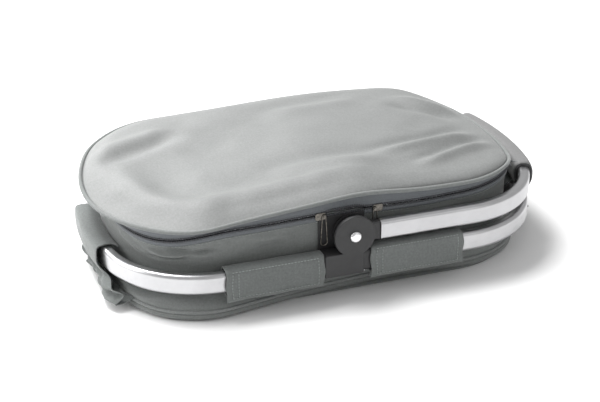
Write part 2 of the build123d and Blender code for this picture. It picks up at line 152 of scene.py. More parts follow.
def grid(name, pts, closed_u=False, closed_v=False, uv=None):
    """A quad mesh from pts[u, v], with an optional UV map in metres from uv[u], uv[v]."""
    nu, nv = pts.shape[:2]
    faces = []
    corners = []
    for i in range(nu if closed_u else nu - 1):
        for j in range(nv if closed_v else nv - 1):
            a, b = i, (i + 1) % nu
            c, d = j, (j + 1) % nv
            faces.append((a * nv + c, b * nv + c, b * nv + d, a * nv + d))
            corners.append(((i, j), (i + 1, j), (i + 1, j + 1), (i, j + 1)))
    obj = new_object(name, pts.reshape(-1, 3), faces)
    if uv is not None:
        us = np.append(uv[0], 2 * uv[0][-1] - uv[0][-2]) if closed_u else uv[0]
        vs = np.append(uv[1], 2 * uv[1][-1] - uv[1][-2]) if closed_v else uv[1]
        layer = obj.data.uv_layers.new(name="cloth")
        flat = np.array([(us[i], vs[j]) for quad in corners for i, j in quad]).ravel()
        layer.data.foreach_set("uv", flat)
    return obj


def apply_modifiers(obj):
    bpy.context.view_layer.update()
    depsgraph = bpy.context.evaluated_depsgraph_get()
    mesh = bpy.data.meshes.new_from_object(obj.evaluated_get(depsgraph))
    obj.modifiers.clear()
    old = obj.data
    obj.data = mesh
    bpy.data.meshes.remove(old)


def subdivide(obj):
    mod = obj.modifiers.new("subdivision", "SUBSURF")
    mod.levels = mod.render_levels = 1
    apply_modifiers(obj)


def solidify(obj, thickness, offset=-1, even=True):
    mod = obj.modifiers.new("thickness", "SOLIDIFY")
    mod.thickness = thickness
    mod.offset = offset
    mod.use_even_offset = even
    apply_modifiers(obj)


def weld(obj, flat_uv=False):
    """Joins the points that lie on each other, as where a plate's rows meet on its spine."""
    bm = bmesh.new()
    bm.from_mesh(obj.data)
    bmesh.ops.remove_doubles(bm, verts=bm.verts, dist=0.05 * MM)
    if flat_uv:
        layer = bm.loops.layers.uv.verify()
        for face in bm.faces:
            for loop in face.loops:
                loop[layer].uv = loop.vert.co.xy
    bm.to_mesh(obj.data)
    bm.free()


def verts_of(obj):
    co = np.empty(len(obj.data.vertices) * 3)
    obj.data.vertices.foreach_get("co", co)
    return co.reshape(-1, 3)


def set_verts(obj, co):
    obj.data.vertices.foreach_set("co", co.ravel())
    obj.data.update()


def tree_of(points):
    tree = kdtree.KDTree(len(points))
    for i, point in enumerate(points):
        tree.insert(point, i)
    tree.balance()
    return tree


def ripple(co, scale, seed, axes=(1, 1, 1)):
    """Smooth noise from about -1 to 1 at each point, with a wavelength of about scale metres."""
    offset = Vector((seed * 13.7, seed * 7.1, seed * 3.3))
    k = np.array(axes) / scale
    return np.array([noise.noise(Vector(p * k) + offset) for p in co]) * 2


def smoothstep(a, b, x):
    t = np.clip((np.asarray(x) - a) / (b - a), 0, 1)
    return t * t * (3 - 2 * t)


def bell(x, centre, spread):
    return np.exp(-(((x - centre) / spread) ** 2))


def crease(u, v, start, end, width, depth):
    """A fold along a line in two coordinates: a ridge of that height, with a valley beside it."""
    (u0, v0), (u1, v1) = start, end
    length = math.hypot(u1 - u0, v1 - v0)
    du, dv = (u1 - u0) / length, (v1 - v0) / length
    t = (u - u0) * du + (v - v0) * dv
    across = (u - u0) * -dv + (v - v0) * du
    fade = smoothstep(-0.15 * length, 0.3 * length, t) * smoothstep(1.15 * length, 0.7 * length, t)
    return depth * fade * (bell(across, 0, width) - 0.8 * bell(across, 1.6 * width, width))


def mm_crease(u, v, start, end, width, depth):
    """The same with the line and the width given in millimetres."""
    return crease(u, v, [a * MM for a in start], [a * MM for a in end], width * MM, depth)


def round_section(radius, count):
    angles = np.linspace(0, 2 * math.pi, count, endpoint=False)
    return np.stack([radius * np.cos(angles), radius * np.sin(angles)], 1)


def girth_of(section):
    return np.concatenate([[0], np.cumsum(np.linalg.norm(np.diff(section, axis=0), axis=1))])


def rounded_line(points, radii, steps=6):
    """A polyline in two coordinates with its corners rounded, as evenly spaced points."""
    out = [np.array(points[0], float)]
    for k in range(1, len(points) - 1):
        before, here, after = (np.array(points[i], float) for i in (k - 1, k, k + 1))
        a, b = before - here, after - here
        reach = min(radii[k - 1], 0.48 * np.linalg.norm(a), 0.48 * np.linalg.norm(b))
        p, q = here + a / np.linalg.norm(a) * reach, here + b / np.linalg.norm(b) * reach
        for t in np.linspace(0, 1, steps):
            out.append((1 - t) ** 2 * p + 2 * t * (1 - t) * here + t**2 * q)
    out.append(np.array(points[-1], float))
    line = np.array(out)
    along = girth_of(line)
    even = np.linspace(0, along[-1], max(12, int(along[-1] / (1.6 * MM))))
    return np.stack([np.interp(even, along, line[:, i]) for i in range(2)], 1)


def stitches(name, line, out, pitch=3.4 * MM, share=0.68, radius=0.34 * MM):
    """A row of sewing stitches along a line of points, each a short thread that dips in at its ends."""
    steps = np.linalg.norm(np.diff(line, axis=0), axis=1)
    along = np.concatenate([[0], np.cumsum(steps)])
    starts = np.arange(0.5 * pitch, along[-1] - pitch, pitch)
    rings, sides = 5, 6
    verts, faces = [], []
    for start in starts:
        s = np.linspace(start, start + share * pitch, rings)
        centre = np.stack([np.interp(s, along, line[:, i]) for i in range(3)], 1)
        lift = np.stack([np.interp(s, along, out[:, i]) for i in range(3)], 1)
        lift /= np.linalg.norm(lift, axis=1, keepdims=True)
        run = centre[-1] - centre[0]
        run /= np.linalg.norm(run)
        side = np.cross(run, lift)
        rise = np.sin(np.linspace(0, math.pi, rings)) * 1.1 * radius - 0.5 * radius
        first = len(verts)
        for k in range(rings):
            r = radius * (0.55 if k in (0, rings - 1) else 1.0)
            for a in np.linspace(0, 2 * math.pi, sides, endpoint=False):
                verts.append(centre[k] + lift[k] * (rise[k] + r * math.sin(a)) + side[k] * r * math.cos(a))
        for k in range(rings - 1):
            for a in range(sides):
                b = (a + 1) % sides
                faces.append((first + k * sides + a, first + k * sides + b,
                              first + (k + 1) * sides + b, first + (k + 1) * sides + a))
        faces.append(tuple(first + a for a in reversed(range(sides))))
        faces.append(tuple(first + (rings - 1) * sides + a for a in range(sides)))
    return new_object(name, verts, faces)


# ---------------------------------------------------------------- materials
def material(name):
    mat = bpy.data.materials.new(name)
    mat.use_nodes = True
    nodes, links = mat.node_tree.nodes, mat.node_tree.links
    return mat, nodes, links, nodes["Principled BSDF"]


def mapped(nodes, links, source, scale):
    coords = nodes.new("ShaderNodeTexCoord")
    mapping = nodes.new("ShaderNodeMapping")
    mapping.inputs["Scale"].default_value = scale
    links.new(coords.outputs[source], mapping.inputs["Vector"])
    return mapping.outputs["Vector"]


def noise_node(nodes, links, vector, scale, detail=3.0, rough=0.55):
    node = nodes.new("ShaderNodeTexNoise")
    node.inputs["Scale"].default_value = scale
    node.inputs["Detail"].default_value = detail
    node.inputs["Roughness"].default_value = rough
    links.new(vector, node.inputs["Vector"])
    return node.outputs["Fac"]


def wave_node(nodes, links, vector, scale, direction):
    node = nodes.new("ShaderNodeTexWave")
    node.bands_direction = direction
    node.inputs["Scale"].default_value = scale
    node.inputs["Detail"].default_value = 2
    links.new(vector, node.inputs["Vector"])
    return node.outputs["Fac"]


def math_node(nodes, links, operation, a, b):
    node = nodes.new("ShaderNodeMath")
    node.operation = operation
    for socket, value in zip(node.inputs, (a, b)):
        if isinstance(value, (int, float)):
            socket.default_value = value
        else:
            links.new(value, socket)
    return node.outputs[0]


def ramp(nodes, links, fac, stops):
    node = nodes.new("ShaderNodeValToRGB")
    elements = node.color_ramp.elements
    while len(elements) < len(stops):
        elements.new(0.5)
    for element, (position, colour) in zip(elements, stops):
        element.position = position
        element.color = (*colour, 1)
    links.new(fac, node.inputs["Fac"])
    return node.outputs["Color"]


def bump(nodes, links, height, strength, distance, normal=None):
    node = nodes.new("ShaderNodeBump")
    node.inputs["Strength"].default_value = strength
    node.inputs["Distance"].default_value = distance
    links.new(height, node.inputs["Height"])
    if normal is not None:
        links.new(normal, node.inputs["Normal"])
    return node.outputs["Normal"]


def spread_over(nodes, links, value, low, high, start=0.0, end=1.0):
    """Maps a value between start and end onto low to high."""
    node = nodes.new("ShaderNodeMapRange")
    for socket, number in (("From Min", start), ("From Max", end), ("To Min", low), ("To Max", high)):
        node.inputs[socket].default_value = number
    links.new(value, node.inputs["Value"])
    return node.outputs["Result"]


def span(colour, amount):
    return [tuple(min(1, c * (1 - amount)) for c in colour), tuple(min(1, c * (1 + amount)) for c in colour)]


WAVE_REPEAT = 6.2832  # at a scale of 1 / (this * thread) a wave texture repeats about every two threads


def fabric(name, colour, thread=0.55 * MM, source="UV", roughness=0.75, sheen=0.25, weave=0.5, slub=0.1,
           gloss=0.35, grain=0.12):
    """Plain woven polyester: two crossed sets of threads, uneven yarn and soft patches of tone."""
    mat, nodes, links, bsdf = material(name)
    cloth = mapped(nodes, links, source, (1, 1, 1))
    per_band = 1 / (WAVE_REPEAT * thread)
    warp = wave_node(nodes, links, cloth, per_band, "X")
    weft = wave_node(nodes, links, cloth, per_band, "Y")
    weave_height = math_node(nodes, links, "MULTIPLY", warp, weft)
    place = mapped(nodes, links, "Object", (1, 1, 1))
    patches = noise_node(nodes, links, place, 9.0, 4.0)
    yarn = noise_node(nodes, links, mapped(nodes, links, source, (60, 900, 1)), 1.0, 2.0)
    yarn2 = noise_node(nodes, links, mapped(nodes, links, source, (900, 60, 1)), 1.0, 2.0)
    tone = math_node(nodes, links, "ADD", math_node(nodes, links, "MULTIPLY", patches, 0.5),
                     math_node(nodes, links, "MULTIPLY", math_node(nodes, links, "ADD", yarn, yarn2), 0.25))
    dark, light = span(colour, slub)
    fuzz = noise_node(nodes, links, place, 700.0, 2.0)
    specks = noise_node(nodes, links, place, 480.0, 3.0, 0.7)
    speckle = spread_over(nodes, links, specks, 1 - grain, 1 + grain, 0.3, 0.7)
    shade = nodes.new("ShaderNodeVectorMath")
    shade.operation = "SCALE"
    links.new(ramp(nodes, links, tone, [(0.3, dark), (0.7, light)]), shade.inputs[0])
    links.new(speckle, shade.inputs["Scale"])
    links.new(shade.outputs["Vector"], bsdf.inputs["Base Color"])
    links.new(spread_over(nodes, links, fuzz, roughness - 0.1, roughness + 0.1), bsdf.inputs["Roughness"])
    bsdf.inputs["Sheen Weight"].default_value = sheen
    bsdf.inputs["Sheen Roughness"].default_value = 0.4
    bsdf.inputs["Specular IOR Level"].default_value = gloss
    height = bump(nodes, links, weave_height, weave, 0.12 * MM)
    height = bump(nodes, links, fuzz, 0.45, 0.2 * MM, height)
    links.new(height, bsdf.inputs["Normal"])
    return mat


def aluminium(name):
    """Satin anodised tube: fine drawing lines along it and faint handling marks."""
    mat, nodes, links, bsdf = material(name)
    bsdf.inputs["Metallic"].default_value = 1.0
    place = mapped(nodes, links, "Object", (1, 1, 1))
    lines = noise_node(nodes, links, mapped(nodes, links, "Object", (25, 25, 1800)), 1.0, 3.0)
    marks = noise_node(nodes, links, place, 28.0, 6.0, 0.7)
    tones = [(0.3, (0.50, 0.50, 0.51)), (0.7, (0.58, 0.58, 0.59))]
    links.new(ramp(nodes, links, marks, tones), bsdf.inputs["Base Color"])
    mixed = math_node(nodes, links, "ADD", math_node(nodes, links, "MULTIPLY", lines, 0.5),
                      math_node(nodes, links, "MULTIPLY", marks, 0.5))
    links.new(spread_over(nodes, links, mixed, 0.26, 0.40), bsdf.inputs["Roughness"])
    links.new(bump(nodes, links, lines, 0.08, 0.05 * MM), bsdf.inputs["Normal"])
    return mat


def plastic(name, colour, roughness=0.42):
    """Moulded nylon with a fine spark-eroded grain."""
    mat, nodes, links, bsdf = material(name)
    place = mapped(nodes, links, "Object", (1, 1, 1))
    grain = noise_node(nodes, links, place, 1600.0, 2.0)
    wear = noise_node(nodes, links, place, 60.0, 5.0, 0.65)
    dark, light = span(colour, 0.18)
    links.new(ramp(nodes, links, wear, [(0.35, dark), (0.7, light)]), bsdf.inputs["Base Color"])
    links.new(spread_over(nodes, links, wear, roughness - 0.08, roughness + 0.12), bsdf.inputs["Roughness"])
    links.new(bump(nodes, links, grain, 0.35, 0.08 * MM), bsdf.inputs["Normal"])
    return mat


def metal(name, colour, roughness=0.25, tarnish=0.25):
    """Plated zinc or steel, a little tarnished in random spots."""
    mat, nodes, links, bsdf = material(name)
    bsdf.inputs["Metallic"].default_value = 1.0
    place = mapped(nodes, links, "Object", (1, 1, 1))
    spots = noise_node(nodes, links, place, 420.0, 4.0, 0.6)
    dark, light = span(colour, tarnish)
    links.new(ramp(nodes, links, spots, [(0.35, dark), (0.65, light)]), bsdf.inputs["Base Color"])
    links.new(spread_over(nodes, links, spots, roughness - 0.08, roughness + 0.12), bsdf.inputs["Roughness"])
    links.new(bump(nodes, links, spots, 0.15, 0.05 * MM), bsdf.inputs["Normal"])
    return mat


def foil(name):
    """Crinkled metallised film."""
    mat, nodes, links, bsdf = material(name)
    bsdf.inputs["Metallic"].default_value = 0.85
    place = mapped(nodes, links, "Object", (1, 1, 1))
    crinkle = noise_node(nodes, links, place, 90.0, 6.0, 0.7)
    tones = [(0.3, (0.62, 0.63, 0.64)), (0.7, (0.78, 0.79, 0.80))]
    links.new(ramp(nodes, links, crinkle, tones), bsdf.inputs["Base Color"])
    links.new(spread_over(nodes, links, crinkle, 0.28, 0.45), bsdf.inputs["Roughness"])
    links.new(bump(nodes, links, crinkle, 0.5, 1.5 * MM), bsdf.inputs["Normal"])
    return mat


MATERIALS = {
    "body": fabric("grey_polyester", (0.178, 0.188, 0.183)),
    "lid": fabric("grey_polyester_lid", (0.194, 0.200, 0.197), roughness=0.52, sheen=0.15, gloss=0.6),
    "strap": fabric("grey_strap_cloth", (0.150, 0.161, 0.157), weave=0.9, slub=0.16, grain=0.16),
    "piping": fabric("grey_piping_cloth", (0.20, 0.21, 0.206)),
    "tape": fabric("zip_tape_twill", (0.125, 0.135, 0.145), thread=0.8 * MM, roughness=0.6),
    "patch": fabric("black_coated_cloth", (0.028, 0.028, 0.029), roughness=0.6, sheen=0.08),
    "thread": fabric("sewing_thread", (0.34, 0.37, 0.355), source="Object", thread=0.3 * MM),
    "coil": plastic("zip_coil_nylon", (0.042, 0.044, 0.05), 0.32),
    "plastic": plastic("black_nylon", (0.028, 0.028, 0.029), 0.42),
    "tube": aluminium("satin_aluminium"),
    "pull": metal("tarnished_nickel", (0.180, 0.168, 0.150), 0.38, 0.5),
    "rivet": metal("polished_steel", (0.85, 0.85, 0.86), 0.16, 0.05),
    "foil": foil("metallised_film"),
    "grip": fabric("grip_cloth", (0.196, 0.196, 0.196), roughness=0.55, sheen=0.15, weave=0.4),
    "foam": fabric("bare_foam", (0.05, 0.05, 0.052), source="Object", thread=0.9 * MM, roughness=0.9),
}


def dress(obj, key):
    obj.data.materials.clear()
    obj.data.materials.append(MATERIALS[key])


for node, key in (
    [(n, "tube") for n in ("ring_tube_left", "ring_tube_right", "handle_tube")]
    + [(f"{n}_{s}", "plastic") for n in ("hinge_bracket", "handle_socket") for s in ("front", "back")]
    + [(f"{n}_{s}", "rivet") for n in ("rivet", "washers") for s in ("front", "back")]
    + [(f"{n}_{s}", "pull") for n in ("pull", "slider") for s in ("left", "right")]
    + [("bracket_screws", "rivet"), ("zip_stops", "pull")]
):
    dress(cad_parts[node], key)


def place(obj, key, body, slot, *nodes):
    """Gives a finished piece its material, parents it to its body's empty when body is a name (a span between
    two bodies only has its transform baked) and hides the CAD nodes it stands for. slot is not used.
    """
    dress(obj, key)
    if isinstance(body, str):
        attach(obj, body)
    else:
        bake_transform(obj)
    if nodes:
        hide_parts(*nodes)
    return obj


# ---------------------------------------------------------------- the bag's soft warp
def warp(co):
    """How the soft bag leaves its drawn shape: the hubs hold the lid's edge up, the front left corner
    droops, the left end leans out, and the base spreads under the front left of the ring."""
    x, y, z = co[:, 0], co[:, 1], co[:, 2]
    above = smoothstep(45 * MM, 86 * MM, z)
    lid_part = smoothstep(ZIP_Z, PIPING_Z, z)
    below = smoothstep(30 * MM, 11 * MM, z)
    front = smoothstep(100 * MM, -100 * MM, y)
    droop_side = smoothstep(70 * MM, -60 * MM, y)
    front_edge, back_edge = smoothstep(90 * MM, 128 * MM, -y), smoothstep(90 * MM, 128 * MM, y)
    base_front, base_back = smoothstep(60 * MM, 120 * MM, -y), smoothstep(60 * MM, 120 * MM, y)
    right_end = smoothstep(150 * MM, 215 * MM, x)
    # how far the lid's edge and the zip rise and sink, in millimetres
    lift_front = 6.0 * bell(x, 12 * MM, 50 * MM)
    lift_back = 8.5 * bell(x, 45 * MM, 110 * MM)
    lift = lift_back + (lift_front - lift_back) * front
    lift_zip = (2 * bell(x, 0, 60 * MM) + 4.5 * smoothstep(60 * MM, 190 * MM, x)) * front
    lift_left = 3 * smoothstep(60 * MM, -110 * MM, x) * smoothstep(-40 * MM, 60 * MM, y)
    droop_lid = 10.5 * smoothstep(-40 * MM, -205 * MM, x) * droop_side
    droop_zip = 10.5 * smoothstep(-128 * MM, -200 * MM, x) * droop_side
    sink_right = 7 * smoothstep(150 * MM, 212 * MM, x) * smoothstep(-125 * MM, -60 * MM, y)
    lid_rise = (lift + lift_left - droop_lid - sink_right) * lid_part
    zip_rise = (lift_zip - droop_zip) * (1 - lid_part)
    # how far the ends lean and the base spreads, in millimetres
    lean = bell(y, -8 * MM, 88 * MM) * smoothstep(-150 * MM, -222 * MM, x)
    spread = 13 * smoothstep(-40 * MM, -170 * MM, x) - 10 * bell(x, 55 * MM, 95 * MM)
    corner = smoothstep(-150 * MM, -215 * MM, x) * smoothstep(40 * MM, -70 * MM, y)
    out = co.copy()
    out[:, 2] += MM * above * (lid_rise + zip_rise)
    out[:, 0] -= MM * lean * (1.2 * smoothstep(80 * MM, 91 * MM, z) + 19 * lid_part)
    out[:, 0] -= MM * lid_part * 4 * right_end * smoothstep(-90 * MM, 20 * MM, y)
    out[:, 1] -= MM * 3.0 * lid_part * front_edge * smoothstep(-118 * MM, -165 * MM, x)
    out[:, 1] += MM * 2.5 * lid_part * back_edge
    out[:, 1] -= MM * below * spread * base_front
    out[:, 0] -= MM * below * 6 * corner
    out[:, 0] += MM * below * 4 * right_end
    out[:, 1] += MM * below * 5 * base_back
    return out


def bend(obj):
    set_verts(obj, warp(verts_of(obj)))


def strip(name, s, profile, closed=True, thickness=0.9 * MM):
    """A strip of cloth round the bag; profile lists its outer face as (outward, z), from the bottom up."""
    pts, normals = bag_at(s)
    profile = np.array(profile)
    co = np.zeros((len(s), len(profile), 3))
    co[..., :2] = pts[:, None] + normals[:, None] * profile[None, :, :1]
    co[..., 2] = profile[:, 1]
    obj = grid(name, co, closed_u=closed, uv=(s, girth_of(profile)))
    bend(obj)
    solidify(obj, thickness)
    return obj


def cord_round(name, out, z, radius, sides):
    """The sewn-in cord of a piping, round the whole bag."""
    s = all_round(420)
    pts, normals = bag_at(s)
    section = round_section(radius, sides)
    co = np.zeros((len(s), sides, 3))
    co[..., :2] = pts[:, None] + normals[:, None] * (out + section[None, :, :1])
    co[..., 2] = z + section[:, 1]
    obj = grid(name, co, closed_u=True, closed_v=True, uv=(s, girth_of(section)))
    bend(obj)
    return obj


PLATE_THICKNESS = 0.8 * MM


def plate(name, z, inset, waves=0.0):
    """A flat sheet that fills the bag's outline, on rows that run in to a spine."""
    s = all_round(240)
    pts, normals = bag_at(s)
    ring = pts - normals * inset
    spine = spine_of(ring)
    t = np.linspace(0, 1, 16)
    co = np.zeros((len(s), len(t), 3))
    co[..., :2] = ring[:, None] + (spine - ring)[:, None] * t[None, :, None]
    co[..., 2] = z
    obj = grid(name, co, closed_u=True, uv=(s, t))
    weld(obj, flat_uv=True)
    co = verts_of(obj)
    if waves:
        co[:, 2] += waves * (1 + ripple(co, 0.05, 31)) / 2
        set_verts(obj, co)
    solidify(obj, PLATE_THICKNESS, offset=0, even=False)
    return obj


def spine_of(pts):
    """For each point of an outline, the point of the bag's middle line that a row from it runs to."""
    reach = HALF_LENGTH - HALF_WIDTH * 0.9
    return np.stack([np.clip(pts[:, 0] - SHIFT, -reach, reach) + SHIFT, np.zeros(len(pts))], 1)


def inward(co):
    """How far points lie inside the bag's outline."""
    tree = tree_of([(x, y, 0) for x, y in BAG_LOOP[::2, :2]])
    return np.array([tree.find((p[0], p[1], 0))[2] for p in co])


# ---------------------------------------------------------------- padded pieces by cloth simulation
SETTLE_FRAMES = 20
CARRY_POINTS = 64  # how many of the simulated skin's points move each point of the piece
CARRY_REACH = 2.6  # and over how many voxels their weight falls off


def swell(obj, voxel, pressure, slack, cap, pinned):
    """Fills a closed pad like sewn cloth over foam: its remeshed skin, a little too large for its seams,
    is blown up and buckles, and obj takes on that movement, never more than cap. pinned picks the points
    that a seam holds."""
    proxy = copy_of(obj, obj.name + "_air")
    remesh = proxy.modifiers.new("remesh", "REMESH")
    remesh.mode = "VOXEL"
    remesh.voxel_size = voxel
    apply_modifiers(proxy)
    rest = verts_of(proxy)
    group = proxy.vertex_groups.new(name="seam")
    for i in np.flatnonzero(pinned(rest)):
        group.add([int(i)], 1.0, "REPLACE")
    cloth = proxy.modifiers.new("cloth", "CLOTH")
    settings = cloth.settings
    settings.quality = 5
    settings.mass = 0.3
    settings.tension_stiffness = 25
    settings.compression_stiffness = 12
    settings.bending_stiffness = 0.35
    settings.use_pressure = True
    settings.uniform_pressure_force = pressure
    settings.shrink_min = -slack
    settings.shrink_max = -slack
    settings.vertex_group_mass = "seam"
    settings.effector_weights.gravity = 0
    cloth.point_cache.frame_start = 1
    cloth.point_cache.frame_end = SETTLE_FRAMES
    scene = bpy.context.scene
    for frame_number in range(1, SETTLE_FRAMES + 1):
        scene.frame_set(frame_number)
    apply_modifiers(proxy)
    scene.frame_set(1)
    moved = verts_of(proxy) - rest
    size = np.linalg.norm(moved, axis=1, keepdims=True)
    moved *= cap / (cap + size)
    tree = tree_of(rest)
    co = verts_of(obj)
    shift = np.zeros_like(co)
    for i, p in enumerate(co):
        near = tree.find_n(p, CARRY_POINTS)
        weight = np.array([math.exp(-((d / (CARRY_REACH * voxel)) ** 2)) for _, _, d in near]) + 1e-6
        shift[i] = weight @ moved[[k for _, k, _ in near]] / weight.sum()
    set_verts(obj, co + shift)
    bpy.data.objects.remove(proxy)


# ---------------------------------------------------------------- lid
LID_FOLDS = [  # start (x, y), end (x, y), width, height, millimetres
    ((-205, 25), (-125, 62), 12, -3.8),
    ((60, -60), (185, -28), 9, 4.4),
    ((95, -94), (196, -52), 8, 4.0),
    ((120, 60), (188, 20), 12, -4.4),
    ((-60, -62), (70, -74), 13, 3.0),
    ((-20, 66), (90, 84), 14, 2.6),
]


def make_lid():
    """The lid's top: a soft dome over thin foam, from its seam with the piping."""
    s = all_round(260)
    pts, _ = bag_at(s)
    spine = spine_of(pts)
    reach = np.linalg.norm(pts - spine, axis=1)
    t = np.linspace(0, 1, 34) ** 1.35
    co = np.zeros((len(s), len(t), 3))
    co[..., :2] = pts[:, None] + (spine - pts)[:, None] * t[None, :, None]
    depth = reach[:, None] * t[None]
    # the edge rounds over steeply, but falls gently at the front left
    gentle = smoothstep(90 * MM, -30 * MM, co[..., 0]) * smoothstep(60 * MM, -40 * MM, co[..., 1])
    edge = np.clip(depth / ((18 + 8 * gentle) * MM), 0, 1)
    fall = (1 - gentle) * np.sqrt(1 - (1 - edge) ** 2) + 1.2 * gentle * np.sin(math.pi / 2 * edge)
    co[..., 2] = PIPING_Z + fall * 7.5 * MM + smoothstep(0, 0.11, depth) * 1.5 * MM
    obj = grid("lid_top", co, closed_u=True, uv=(s, t))
    weld(obj, flat_uv=True)
    subdivide(obj)
    co = verts_of(obj)
    deep = inward(co)
    hold = smoothstep(0, 22 * MM, deep)
    x, y = co[:, 0], co[:, 1]
    lift = 1.5 * ripple(co, 0.11, 3, (1, 1.5, 0)) + 0.5 * ripple(co, 0.045, 5, (1, 1.4, 0))
    along_front = smoothstep(40 * MM, -40 * MM, y) * smoothstep(70 * MM, -30 * MM, x)
    lift += along_front * (5.6 * bell(deep, 33 * MM, 13 * MM) - 1.5 * bell(deep, 68 * MM, 20 * MM))
    for start, end, width, height in LID_FOLDS:
        lift += mm_crease(x, y, start, end, width, height)
    co[:, 2] += MM * hold * lift
    set_verts(obj, co)
    pad = copy_of(obj, "lid_pad")
    solidify(pad, 9 * MM)
    skin = verts_of(obj)
    swell(pad, 5 * MM, 4, 0.02, 3.5 * MM, lambda p: (p[:, 2] < PIPING_Z + 1.5 * MM) | (inward(p) < 7 * MM))
    count = len(skin)
    shifted = verts_of(pad)[:count]
    bpy.data.objects.remove(pad)
    skin += (shifted - skin) * smoothstep(2 * MM, 18 * MM, deep)[:, None]
    set_verts(obj, warp(skin))
    solidify(obj, 1.2 * MM)
    return obj


lid_top = place(make_lid(), "lid", "lid", "grey_fabric", "lid_cover", "lid_foam")
place(cord_round("lid_piping_cord", PIPING_R, PIPING_Z, PIPING_R, 14),
      "piping", "lid", "grey_fabric", "lid_piping")

lid_tape_z = coil_upper_high.z
place(strip("lid_side_band", zip_round(400),
            [(0.3 * MM, lid_tape_z - 0.2 * MM), (1.3 * MM, lid_tape_z + 0.8 * MM),
             (1.4 * MM, lid_tape_z + 2.2 * MM), (0.7 * MM, lid_tape_z + 2.9 * MM),
             (1.1 * MM, lid_tape_z + 4.5 * MM), (1.3 * MM, PIPING_Z - 4 * MM),
             (0.5 * MM, PIPING_Z - 1 * MM), (0.4 * MM, PIPING_Z)], closed=False),
      "tape", "lid", "zip_tape", "lid_band", "zip_tape_upper")
place(plate("lid_inner_lining", lining_high.z + 0.4 * MM, 1.5 * MM),
      "foil", "lid", "foil", "lid_lining")

# ---------------------------------------------------------------- side wall
FOLDS = [  # start (s, z), end (s, z), width, height, millimetres; s runs from the front middle
    ((-215, 72), (-135, 66), 3.2, 4.8),
    ((-205, 61), (-140, 71), 3.2, -5.0),
    ((-196, 76), (-150, 66), 2.6, 3.0),
    ((-262, 76), (-215, 62), 5.0, 2.8),
    ((-110, 78), (-52, 66), 5.0, 2.4),
    ((-95, 62), (-40, 73), 6.0, -2.0),
    ((-264, 23), (-194, 14), 4.5, 7.0),
    ((-232, 14), (-186, 22), 4.0, 4.0),
    ((60, 72), (150, 79), 4.0, 1.2),
    ((-240, 24), (-150, 17), 4.0, 1.2),
    ((-110, 25), (-10, 21), 5.0, 1.0),
    ((150, 30), (225, 20), 5.0, 1.4),
    ((300, 66), (360, 40), 7.0, 1.8),
    ((430, 60), (540, 40), 7.0, 1.6),
    ((600, 34), (690, 62), 7.0, -1.6),
    ((-400, 58), (-330, 66), 6.0, 1.8),
]
SEAM_S = -99 * MM


def wall_out(s, z, pts):
    """How far the wall stands out from the bag's outline."""
    rise = (z - WALL_FOOT) / (WALL_HEAD - WALL_FOOT)
    out = 5.0 * MM * (1 - smoothstep(0, 0.45, rise)) - 2.0 * MM * np.sin(math.pi * rise)
    sag = np.sin(math.pi * np.clip(rise, 0, 1)) ** 0.6
    out += sag * MM * (1.2 * ripple(pts, 0.07, 11, (1, 1, 2.2)) + 0.5 * ripple(pts, 0.03, 12, (1, 1, 2.0)))
    s = np.mod(s + BAG_GIRTH / 2, BAG_GIRTH) - BAG_GIRTH / 2
    for (s0, z0), (s1, z1), width, height in FOLDS:
        at_back = s0 > 300
        here = np.where(s < -BAG_GIRTH / 4, s + BAG_GIRTH, s) if at_back else s
        out += sag * MM * mm_crease(here, z, (s0, z0), (s1, z1), width, height)
    out -= 0.9 * MM * bell(s, SEAM_S, 0.9 * MM) * smoothstep(46 * MM, 34 * MM, z)
    return out


def wall_points(s, z):
    """The wall's outer face at distances s round the bag and heights z, before the warp."""
    s, z = np.broadcast_arrays(s, z)
    pts, normals = bag_at(s)
    co = np.concatenate([pts, z[..., None]], -1)
    out = wall_out(s.ravel(), z.ravel(), co.reshape(-1, 3)).reshape(z.shape)
    co[..., :2] += normals * out[..., None]
    return co


wall_s = np.unique(np.concatenate([all_round(520), np.mod(SEAM_S + np.linspace(-3, 3, 9) * MM, BAG_GIRTH)]))
wall_z = np.linspace(WALL_FOOT, WALL_HEAD, 56)
side_wall = grid("side_wall", wall_points(wall_s[:, None], wall_z[None]), closed_u=True, uv=(wall_s, wall_z))
bend(side_wall)
solidify(side_wall, 0.9 * MM)
WALL_SPAN = ("base", "bag", (0, 0, wall_low.z), (0, 0, wall_high.z))
place(side_wall, "body", WALL_SPAN, "grey_fabric", "wall_cover", "wall_foam", "fold_wall", "lower_wall")


def wall_stitches(name, s, z, out, body):
    co = wall_points(s, z)
    _, normals = bag_at(s)
    co[:, :2] += normals * out
    row = stitches(name, warp(co), np.column_stack([normals, np.zeros(len(s))]))
    place(row, "thread", body, "grey_fabric")


wall_stitches("stitches_under_zip", zip_round(900), np.full(900, tape_low.z - 1.8 * MM), 0.2 * MM, "bag")
for k, side in enumerate((-1.8, 1.8)):
    seam_z = np.linspace(WALL_FOOT + 2 * MM, 36 * MM, 30)
    wall_stitches(f"stitches_seam_{k}", np.full(30, SEAM_S + side * MM), seam_z, 0.1 * MM, WALL_SPAN)

inside = strip("inner_wall", all_round(300),
               [(-0.9 * MM, wall_high.z - 0.3 * MM), (-5.2 * MM, wall_high.z - 0.6 * MM),
                (-8.5 * MM, wall_high.z - 4 * MM), (-11.5 * MM, wall_high.z - 16 * MM),
                (-13.2 * MM, 46 * MM), (-13.6 * MM, 24 * MM), (-13.8 * MM, floor_high.z)], thickness=0.5 * MM)
place(inside, "foil", WALL_SPAN, "foil", "wall_liner", "lower_liner")
place(plate("floor_lining", floor_high.z, 13.5 * MM, waves=0.6 * MM),
      "foil", "base", "foil", "base_liner", "base_foam")

